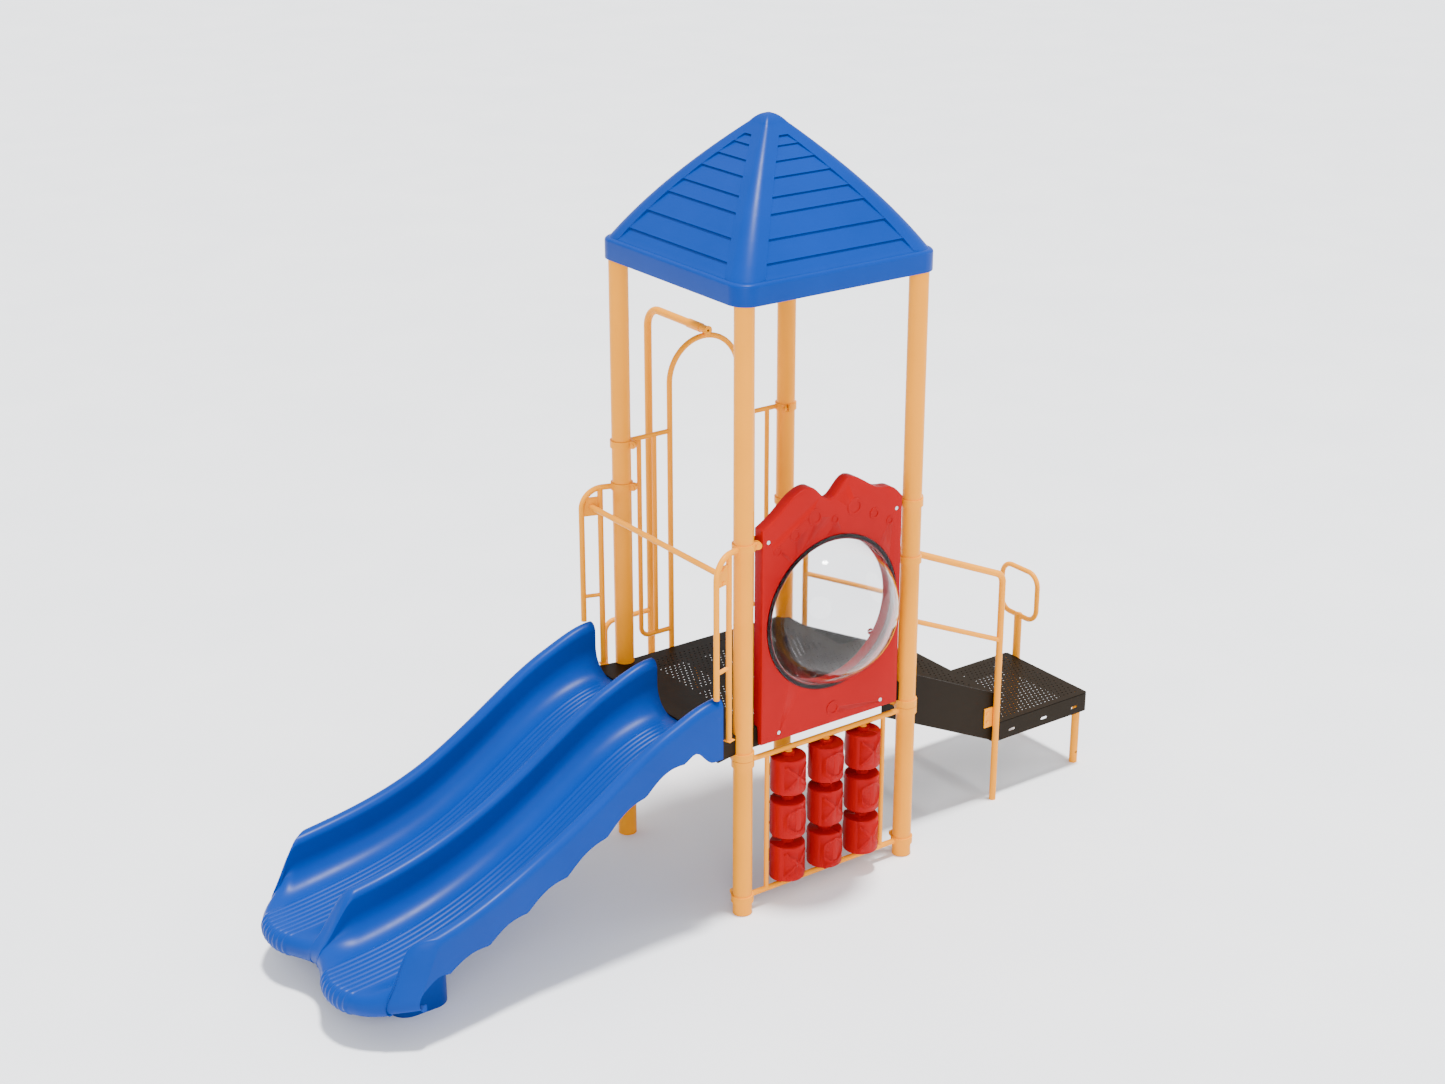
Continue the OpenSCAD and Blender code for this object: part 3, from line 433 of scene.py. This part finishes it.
def sheet_piece(name, node, cells, z, thick, extra=()):
    """A punched sheet whose top is at z, with plain box pieces joined to it."""
    verts, faces = [], []
    for v2, f2 in cells:
        n = len(verts)
        verts += [Vector((x, y, z)) for x, y in v2]
        faces += [tuple(k + n for k in f) for f in f2]
    obj = add(name, verts, faces, node, "brown_steel", smooth=False)
    bm = bmesh.new()
    bm.from_mesh(obj.data)
    bmesh.ops.remove_doubles(bm, verts=bm.verts, dist=0.00005)
    bm.to_mesh(obj.data)
    bm.free()
    solid = obj.modifiers.new("thickness", "SOLIDIFY")
    solid.thickness = thick
    solid.offset = -1
    for k, (a, b) in enumerate(extra):
        box_piece(f"{name}_edge{k}", node, a, b)


def box_piece(name, node, a, b):
    """A brown box between two opposite corners, with its edges eased."""
    verts = [(x, y, z) for z in (a[2], b[2]) for y in (a[1], b[1]) for x in (a[0], b[0])]
    faces = [(0, 2, 3, 1), (4, 5, 7, 6), (0, 1, 5, 4), (2, 6, 7, 3), (0, 4, 6, 2), (1, 3, 7, 5)]
    obj = add(name, verts, faces, node, "brown_steel", smooth=False, replaces=False)
    mod = obj.modifiers.new("edge", "BEVEL")
    mod.width = EDGE_EASE
    mod.segments = 2



def arc_points(cx, cy, r, a0, a1, n):
    """Points of an arc about cx, cy from a0 to a1 degrees."""
    return [(cx + r * cos_d(mix(a0, a1, k / n)), cy + r * sin_d(mix(a0, a1, k / n)))
            for k in range(n + 1)]


def deck():
    """Four punched fields, a plain margin, and a folded edge that follows the posts' notches."""
    lo, hi = DECK_LO, DECK_HI
    z, notch = hi.z, POST_R + NOTCH_GAP
    border = notch + 0.002
    inner = (lo.x + border, hi.x - border, lo.y + border, hi.y - border)
    cells = []
    w = (inner[1] - inner[0]) / 2
    d = (inner[3] - inner[2]) / 2
    for i in range(2):
        for j in range(2):
            x0, y0 = inner[0] + i * w, inner[2] + j * d
            cells.append(punched(x0, x0 + w, y0, y0 + d, PITCH, HOLE_R, DECK_BORDER))
    flat = []
    flat += [plain(inner[0], inner[1], lo.y, inner[2]), plain(inner[0], inner[1], inner[3], hi.y),
             plain(lo.x, inner[0], inner[2], inner[3]), plain(inner[1], hi.x, inner[2], inner[3])]
    for sx, sy in CORNERS:
        px, py = CX + sx * HALF, CY + sy * HALF
        ex, ey = (hi.x if sx > 0 else lo.x), (hi.y if sy > 0 else lo.y)
        ix, iy = (inner[1] if sx > 0 else inner[0]), (inner[3] if sy > 0 else inner[2])
        turn = math.degrees(math.asin(abs(ex - px) / notch))
        mid_a = math.degrees(math.atan2(-sy, -sx))
        arc = arc_points(px, py, notch, mid_a - 45 + turn, mid_a + 45 - turn, ARC_STEPS)
        if math.dist(arc[0], (ix, ey)) > math.dist(arc[-1], (ix, ey)):
            arc.reverse()
        ring = [(ix, iy), (ix, ey), *arc, (ex, iy)]
        area2 = sum(p[0] * q[1] - q[0] * p[1] for p, q in zip(ring, ring[1:] + ring[:1]))
        if area2 < 0:
            ring.reverse()
        flat.append((ring, [tuple(range(len(ring)))]))
    edge_x = math.sqrt(notch ** 2 - (HALF - (hi.x - CX)) ** 2)
    a0, a1 = CX - HALF + edge_x, CX + HALF - edge_x
    b0, b1 = CY - HALF + edge_x, CY + HALF - edge_x
    low, t = lo.z, SHEET_T
    extra = [((a0, lo.y, low), (a1, lo.y + t, z - t)), ((a0, hi.y - t, low), (a1, hi.y, z - t)),
             ((lo.x, b0, low), (lo.x + t, b1, z - t)), ((hi.x - t, b0, low), (hi.x, b1, z - t))]
    sheet_piece("deck_sheet", "deck", cells + flat, z, t, extra)
    for sx, sy in CORNERS:
        px, py = CX + sx * HALF, CY + sy * HALF
        mid_a = math.degrees(math.atan2(-sy, -sx))
        arc = arc_points(px, py, notch, mid_a - 45, mid_a + 45, ARC_STEPS)
        verts = [(x, y, h) for h in (low, z - t) for x, y in arc]
        n = len(arc)
        faces = [(k, k + 1, n + k + 1, n + k) for k in range(n - 1)]
        obj = add("deck_notch", verts, faces, "deck", "brown_steel", replaces=False)
        mod = obj.modifiers.new("thickness", "SOLIDIFY")
        mod.thickness = t
        mod.offset = -1


def cad_copy(node):
    """The CAD node's own mesh in the frame, welded, for trimming or softening."""
    src = frame["nodes"][node]
    bm = bmesh.new()
    bm.from_mesh(src.data)
    bm.transform(src.matrix_world)
    bmesh.ops.remove_doubles(bm, verts=bm.verts, dist=0.00002)
    return bm


def add_bm(name, bm, node, slot, sharp=None):
    """A reworked copy of a CAD node, put in the node's place."""
    me = bpy.data.meshes.new(name)
    bm.to_mesh(me)
    bm.free()
    obj = bpy.data.objects.new(name, me)
    bpy.context.collection.objects.link(obj)
    if sharp:
        me.shade_smooth()
        me.set_sharp_from_angle(angle=math.radians(sharp))
    paint(obj, mats[slot])
    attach(obj, BODY[node])
    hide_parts(node)


def flanges(node, top):
    """The node's folded edges, without its flat walking sheet."""
    bm = cad_copy(node)
    flat = [f for f in bm.faces if abs(f.normal.z) > 0.99
            and all(top - SHEET_T * 1.2 < v.co.z < top + 0.0001 for v in f.verts)]
    bmesh.ops.delete(bm, geom=flat, context="FACES_ONLY")
    add_bm(node + "_flanges", bm, node, "brown_steel")


def tread_top(node):
    """Height of the largest face that looks up."""
    me, m = frame["nodes"][node].data, frame["nodes"][node].matrix_world
    wide = [p for p in me.polygons if (m.to_3x3() @ p.normal).z > 0.99]
    return (m @ max(wide, key=lambda p: p.area).center).z


def treads():
    for node in ("tread_upper", "tread_lower"):
        lo, hi = span(node)
        top = tread_top(node)
        cells = [punched(lo.x, hi.x, lo.y, hi.y, PITCH, HOLE_R, TREAD_BORDER)]
        sheet_piece(node + "_sheet", node, cells, top, SHEET_T)
        flanges(node, top)


def platform():
    lo, hi = span("low_platform")
    r = PLATFORM_CORNER
    x0, x1, y0, y1 = lo.x + r, hi.x - r, lo.y + r, hi.y - r
    cells = [punched(x0, x1, y0, y1, PITCH, HOLE_R, PLATFORM_BORDER)]
    cells += [plain(x0, x1, lo.y, y0), plain(x0, x1, y1, hi.y),
              plain(lo.x, x0, y0, y1), plain(x1, hi.x, y0, y1)]
    for cx, cy, turn in ((x1, y1, 0), (x0, y1, 90), (x0, y0, 180), (x1, y0, 270)):
        ring = [(cx, cy), *arc_points(cx, cy, r, turn, turn + 90, 6)]
        cells.append((ring, [tuple(range(len(ring)))]))
    sheet_piece("platform_sheet", "low_platform", cells, hi.z, SHEET_T)
    flanges("low_platform", hi.z)


# Roof: a smooth fascia and hip bands round four recessed, lapped fields

FASCIA_H = 0.079
FASCIA_LIP = 0.095
ROOF_SKIN = 0.006
LAPS = (0.012, 0.105, 0.25, 0.40, 0.50, 0.615, 0.71, 0.80, 0.86)
LAP_PROUD = 0.003
LAP_DEEP = 0.013
BAND_LOW = 0.122
BAND_HIGH = 0.078
CAP_FROM = 0.93
FASCIA_CORNER = 0.090
SHOULDER = 0.016


def roof():
    """Rings of the plan from the fascia to the rounded top, closed by a plain lining."""
    lo, hi = span("roof")
    w = (hi.x - lo.x) / 2
    base = lo.z + FASCIA_LIP
    pitch = hi.z - base

    def width(t):
        """Half width of the dome, t of the way up."""
        return (w - SHOULDER) * (1 - 0.70 * t - 0.26 * t * t)

    def radius(t):
        """Corner radius of the plan, t of the way up."""
        return mix(0.088, 0.016, t)

    rows = [(w, FASCIA_CORNER, lo.z, None), (w, FASCIA_CORNER, lo.z + FASCIA_H, None)]
    for k in range(1, 5):
        a = 90 * k / 4
        rows.append((w - SHOULDER * (1 - cos_d(a)), FASCIA_CORNER - 0.001,
                     lo.z + FASCIA_H + SHOULDER * sin_d(a), None))
    marks = [0.004] + list(LAPS)
    for a, b in zip(marks, marks[1:]):
        if a == marks[0]:
            rows.append((width(a), radius(a), base + pitch * a, None))
            continue
        for k in range(5):
            t = mix(a, b, k / 4)
            lap = (t, mix(LAP_PROUD, LAP_DEEP, k / 4))
            rows.append((width(t), radius(t), base + pitch * t, lap))
    for k in range(4):
        t = mix(LAPS[-1], CAP_FROM, k / 3)
        rows.append((width(t), radius(t), base + pitch * t, None))
    w1, z1 = width(CAP_FROM), base + pitch * CAP_FROM
    for k in range(1, 9):
        s = cos_d(90 * k / 8)
        rows.append((max(w1 * s, 0.0015), max(radius(CAP_FROM) * s, 0.001),
                     z1 + (hi.z - z1) * (1 - s * s), None))

    def outline(wt, r, field):
        """One quarter of the plan at a height, from corner to corner, as (lateral, outward)."""
        pts = []
        flat = wt - r
        for k in range(6):
            a = 45 + 45 * k / 6
            pts.append((-flat - r * cos_d(a), flat + r * sin_d(a)))
        if field:
            t, deep = field
            f = max(wt - mix(BAND_LOW, BAND_HIGH, t), 0.004)
        else:
            f, deep = max(min(flat * 0.98, wt - BAND_HIGH), flat * 0.4), 0
        pts += [(mix(-flat, -f, k / 3), wt) for k in range(3)]
        pts += [(-f, wt), (-f + min(0.004, f / 4), wt - deep)]
        pts += [(mix(-f, f, k / 4), wt - deep) for k in range(1, 4)]
        pts += [(f - min(0.004, f / 4), wt - deep), (f, wt)]
        pts += [(mix(f, flat, (k + 1) / 3), wt) for k in range(3)]
        for k in range(1, 6):
            a = 90 - 45 * k / 6
            pts.append((flat + r * cos_d(a), flat + r * sin_d(a)))
        return pts

    verts, faces = [], []

    def ring(wt, r, z, field):
        """Adds the whole plan at a height, and gives its first vertex and its count."""
        n = len(verts)
        for q in range(4):
            a = 90 * q
            for x, y in outline(wt, r, field):
                verts.append(Vector((CX + x * cos_d(a) + y * sin_d(a),
                                     CY - x * sin_d(a) + y * cos_d(a), z)))
        return n, len(verts) - n

    starts = [ring(*row) for row in rows]
    m = starts[0][1]

    def skin(a, b, flip):
        for k in range(m):
            e = (k + 1) % m
            q = (a + k, b + k, b + e, a + e) if not flip else (a + k, a + e, b + e, b + k)
            faces.append(q)

    for (a, _), (b, _) in zip(starts, starts[1:]):
        skin(a, b, False)
    top = starts[-1][0]
    faces.append(tuple(top + k for k in range(m))[::-1])
    lining = [(w - ROOF_SKIN, FASCIA_CORNER, z) for z in (lo.z, lo.z + FASCIA_H)]
    lining += [(max(width(t) - LAP_DEEP - ROOF_SKIN, 0.002), radius(t), base + pitch * t - 0.004)
               for t in (0, 0.2, 0.4, 0.6, 0.8, 0.92)]
    inner = [ring(wt, max(r - ROOF_SKIN, 0.001), z, None) for wt, r, z in lining]
    skin(starts[0][0], inner[0][0], True)
    for (a, _), (b, _) in zip(inner, inner[1:]):
        skin(a, b, True)
    faces.append(tuple(inner[-1][0] + k for k in range(m)))
    obj = add("roof_moulding", verts, faces, "roof", "blue_plastic", sharp=32)
    bm = bmesh.new()
    bm.from_mesh(obj.data)
    bmesh.ops.recalc_face_normals(bm, faces=bm.faces)
    bm.to_mesh(obj.data)
    bm.free()


# Moulded red parts with rounded edges

PANEL_ROUND = 0.007
CYLINDER_ROUND = 0.009
PANEL_DEPTH_MIN = 0.030
RIM_AREA_MIN = 0.010


def round_edges(bm, rim, offset):
    bmesh.ops.bevel(bm, geom=rim, offset=offset, segments=4, profile=0.5, affect="EDGES",
                    clamp_overlap=False)


def bubble_panel():
    """The panel with its front, back and hole edges rounded."""
    bm = cad_copy("bubble_panel")
    bmesh.ops.dissolve_limit(bm, angle_limit=math.radians(1), verts=bm.verts, edges=bm.edges)
    rim = []
    for e in bm.edges:
        if len(e.link_faces) != 2:
            continue
        one, two = e.link_faces
        for face, side in ((one, two), (two, one)):
            if abs(face.normal.y) > 0.99 and abs(side.normal.y) < 0.05:
                ys = [v.co.y for v in side.verts]
                if max(ys) - min(ys) > PANEL_DEPTH_MIN:
                    rim.append(e)
                break
    round_edges(bm, rim, PANEL_ROUND)
    add_bm("bubble_panel_moulding", bm, "bubble_panel", "red_plastic", sharp=38)


def cylinders():
    """The nine turning cylinders with rounded rims."""
    for node in sorted(n for n in frame["nodes"] if n.startswith("cylinder_")):
        c = mid(node)
        bm = cad_copy(node)
        bmesh.ops.dissolve_limit(bm, angle_limit=math.radians(0.5), verts=bm.verts, edges=bm.edges)
        out = {v: math.hypot(v.co.x - c.x, v.co.y - c.y) for v in bm.verts}
        far = max(out.values())
        rim = []
        for e in bm.edges:
            if len(e.link_faces) != 2 or min(out[v] for v in e.verts) < far * 0.85:
                continue
            up = [abs(f.normal.z) for f in e.link_faces]
            wide = max(f.calc_area() for f in e.link_faces)
            if max(up) > 0.99 and min(up) < 0.05 and wide > RIM_AREA_MIN:
                rim.append(e)
        round_edges(bm, rim, CYLINDER_ROUND)
        add_bm(node + "_moulding", bm, node, "red_plastic", sharp=30)


slide()
deck()
treads()
platform()
roof()
bubble_panel()
cylinders()


# ---------------------------------------------------------------- stage, light and camera

def area(name, where, target, size, power):
    data = bpy.data.lights.new(name, "AREA")
    data.shape = "DISK"
    data.size = size
    data.energy = power
    obj = bpy.data.objects.new(name, data)
    obj.location = where
    obj.rotation_euler = (Vector(target) - Vector(where)).to_track_quat("-Z", "Y").to_euler()
    bpy.context.collection.objects.link(obj)


def floor():
    mat = bpy.data.materials.new("floor_surface")
    nt, bsdf = links(mat)
    vec = coords(nt)
    pale = [(0.3, (0.86, 0.87, 0.89)), (0.7, (0.90, 0.905, 0.915))]
    nt.links.new(ramp(nt, noise(nt, vec, 1.1, 2.0), pale), bsdf.inputs["Base Color"])
    bsdf.inputs["Roughness"].default_value = 0.9
    bpy.ops.mesh.primitive_plane_add(size=120, location=(CX, CY, 0))
    obj = bpy.context.object
    obj.name = "studio_floor"
    paint(obj, mat)


floor()
centre = Vector((CX, CY, 1.2))
sun = bpy.data.lights.new("overhead_light", "SUN")
sun.energy = 6.5
sun.angle = math.radians(7)
sun_obj = bpy.data.objects.new("overhead_light", sun)
sun_obj.rotation_euler = Vector((-0.055, 0.055, -1)).to_track_quat("-Z", "Y").to_euler()
bpy.context.collection.objects.link(sun_obj)
area("front_fill", (CX - 7, CY - 9, 5.5), centre, 7, 700)
area("side_fill", (CX + 9, CY - 5, 4.5), centre, 6, 260)

world = bpy.data.worlds.new("studio")
world.use_nodes = True
bg = world.node_tree.nodes["Background"]
bg.inputs["Color"].default_value = (0.93, 0.96, 1.0, 1)
bg.inputs["Strength"].default_value = 1.15
bpy.context.scene.world = world

VIEW_AZ, VIEW_EL = -35.86, 21.675
cam_data = bpy.data.cameras.new("camera")
cam_data.sensor_width = 36
cam_data.lens = 58.5
cam_data.clip_end = 200
cam = bpy.data.objects.new("camera", cam_data)
cam.location = (CX - 6.036, CY - 8.015, 5.547)
look = Vector((-sin_d(VIEW_AZ) * cos_d(VIEW_EL), cos_d(VIEW_AZ) * cos_d(VIEW_EL), -sin_d(VIEW_EL)))
cam.rotation_euler = look.to_track_quat("-Z", "Y").to_euler()
bpy.context.collection.objects.link(cam)
bpy.context.scene.camera = cam
